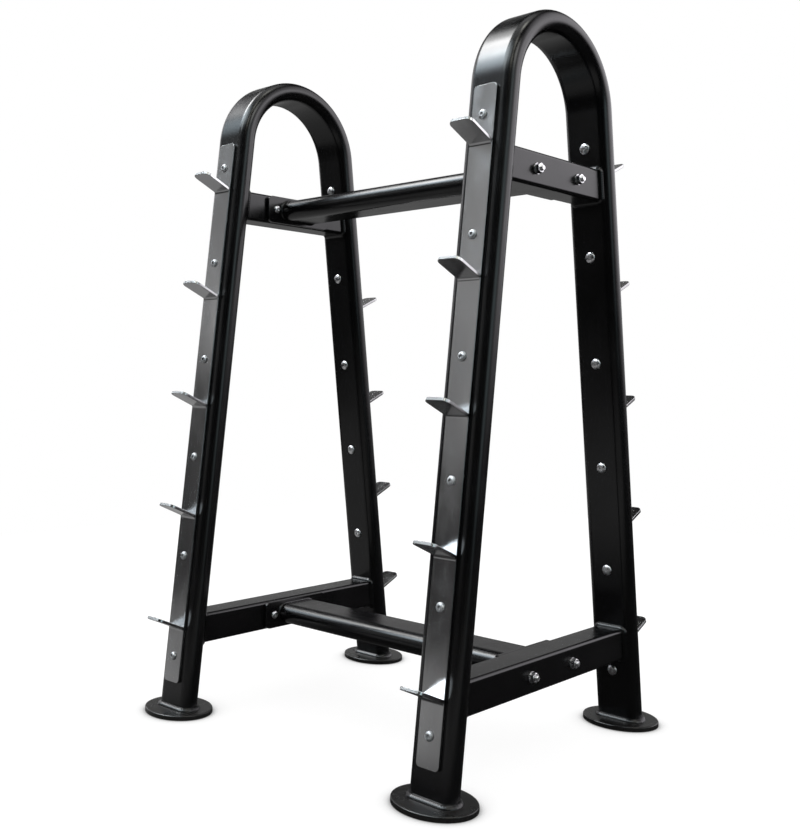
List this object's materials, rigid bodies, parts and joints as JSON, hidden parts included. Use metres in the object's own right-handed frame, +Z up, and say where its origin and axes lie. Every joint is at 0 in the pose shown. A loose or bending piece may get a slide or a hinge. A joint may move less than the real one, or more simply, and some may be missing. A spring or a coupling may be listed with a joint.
{
  "type": "barbell storage rack",
  "caption": "Free-standing A-frame barbell rack of bent flat-oval tube, with bolted steel strips of upturned hooks on front and rear, tied by crossbars.",
  "frame": {"origin": "on the floor, under the middle of the rack", "axes": "+Z up, +X from the left side frame to the right one, -Y the front, with hooks on -Y and +Y"},
  "size_m": [0.908, 0.7232, 1.4],
  "materials": {
    "frame_powder_coat": "semi-gloss black powder coat with a fine orange-peel surface",
    "hook_satin_steel": "satin stainless steel, brushed along the strip",
    "fastener_bright_steel": "bright zinc-plated steel"
  },
  "bodies": {
    "root": {"arch_tube_right": "frame_powder_coat", "foot_plate_right_front": "frame_powder_coat", "hook_strip_right_front": "hook_satin_steel", "strip_screw_right_front_1": "fastener_bright_steel", "strip_screw_right_front_2": "fastener_bright_steel", "strip_screw_right_front_3": "fastener_bright_steel", "strip_screw_right_front_4": "fastener_bright_steel", "strip_screw_right_front_5": "fastener_bright_steel", "strip_screw_right_front_6": "fastener_bright_steel", "foot_plate_right_rear": "frame_powder_coat", "hook_strip_right_rear": "hook_satin_steel", "strip_screw_right_rear_1": "fastener_bright_steel", "strip_screw_right_rear_2": "fastener_bright_steel", "strip_screw_right_rear_3": "fastener_bright_steel", "strip_screw_right_rear_4": "fastener_bright_steel", "strip_screw_right_rear_5": "fastener_bright_steel", "strip_screw_right_rear_6": "fastener_bright_steel", "side_beam_right_upper": "frame_powder_coat", "flange_plate_right_upper": "frame_powder_coat", "flange_bolt_right_upper_front": "fastener_bright_steel", "flange_nut_right_upper_front": "fastener_bright_steel", "flange_bolt_right_upper_rear": "fastener_bright_steel", "flange_nut_right_upper_rear": "fastener_bright_steel", "side_beam_right_lower": "frame_powder_coat", "flange_plate_right_lower": "frame_powder_coat", "flange_bolt_right_lower_front": "fastener_bright_steel", "flange_nut_right_lower_front": "fastener_bright_steel", "flange_bolt_right_lower_rear": "fastener_bright_steel", "flange_nut_right_lower_rear": "fastener_bright_steel", "arch_tube_left": "frame_powder_coat", "foot_plate_left_front": "frame_powder_coat", "hook_strip_left_front": "hook_satin_steel", "strip_screw_left_front_1": "fastener_bright_steel", "strip_screw_left_front_2": "fastener_bright_steel", "strip_screw_left_front_3": "fastener_bright_steel", "strip_screw_left_front_4": "fastener_bright_steel", "strip_screw_left_front_5": "fastener_bright_steel", "strip_screw_left_front_6": "fastener_bright_steel", "foot_plate_left_rear": "frame_powder_coat", "hook_strip_left_rear": "hook_satin_steel", "strip_screw_left_rear_1": "fastener_bright_steel", "strip_screw_left_rear_2": "fastener_bright_steel", "strip_screw_left_rear_3": "fastener_bright_steel", "strip_screw_left_rear_4": "fastener_bright_steel", "strip_screw_left_rear_5": "fastener_bright_steel", "strip_screw_left_rear_6": "fastener_bright_steel", "side_beam_left_upper": "frame_powder_coat", "flange_plate_left_upper": "frame_powder_coat", "flange_bolt_left_upper_front": "fastener_bright_steel", "flange_nut_left_upper_front": "fastener_bright_steel", "flange_bolt_left_upper_rear": "fastener_bright_steel", "flange_nut_left_upper_rear": "fastener_bright_steel", "side_beam_left_lower": "frame_powder_coat", "flange_plate_left_lower": "frame_powder_coat", "flange_bolt_left_lower_front": "fastener_bright_steel", "flange_nut_left_lower_front": "fastener_bright_steel", "flange_bolt_left_lower_rear": "fastener_bright_steel", "flange_nut_left_lower_rear": "fastener_bright_steel", "crossbar_upper": "frame_powder_coat", "crossbar_lower": "frame_powder_coat"}
  },
  "joints": []
}
